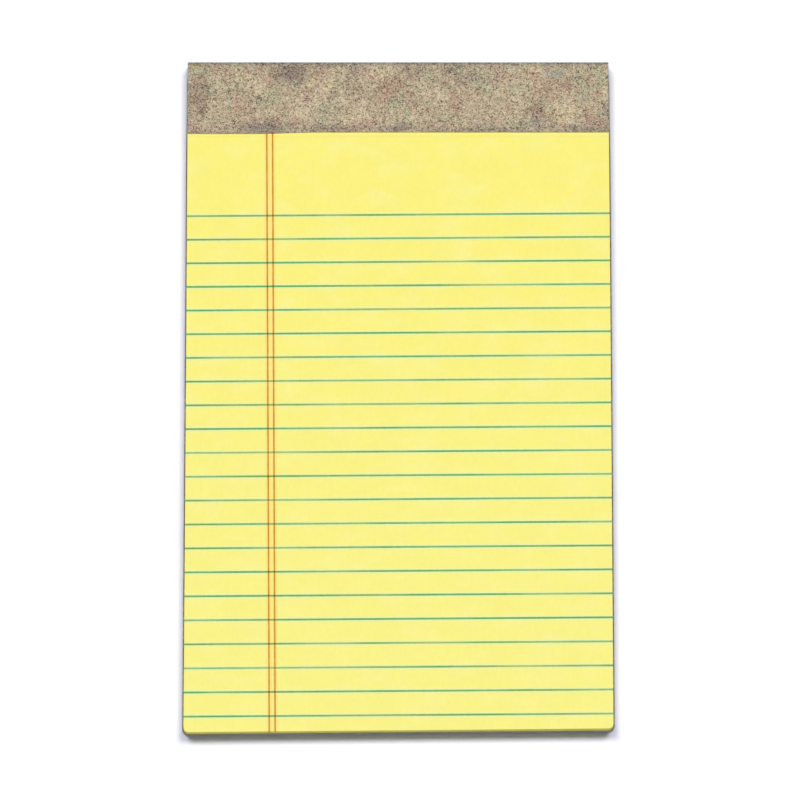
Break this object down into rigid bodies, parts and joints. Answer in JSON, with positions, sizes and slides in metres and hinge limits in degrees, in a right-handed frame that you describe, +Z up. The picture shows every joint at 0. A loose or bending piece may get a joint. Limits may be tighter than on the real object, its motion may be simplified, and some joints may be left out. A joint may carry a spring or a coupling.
{
  "type": "legal pad",
  "caption": "Top-bound pad of ruled yellow leaves on a chipboard back, with a folded stone-pattern paper strip over its stitched head.",
  "frame": {"origin": "on the ground, at the middle of the pad's outline with its spine", "axes": "+Y towards the bound head, +Z up through the leaves, X across the pad, the pad on its back"},
  "size_m": [0.127, 0.2038, 0.0058],
  "materials": {
    "leaves": "matte",
    "chipboard": "matte",
    "strip_paper": "matte",
    "wire": "satin"
  },
  "bodies": {
    "root": {"backing_board": "chipboard", "sheet_stack": "leaves", "binding_strip": "strip_paper", "staple_left": "wire", "staple_right": "wire"}
  },
  "joints": []
}
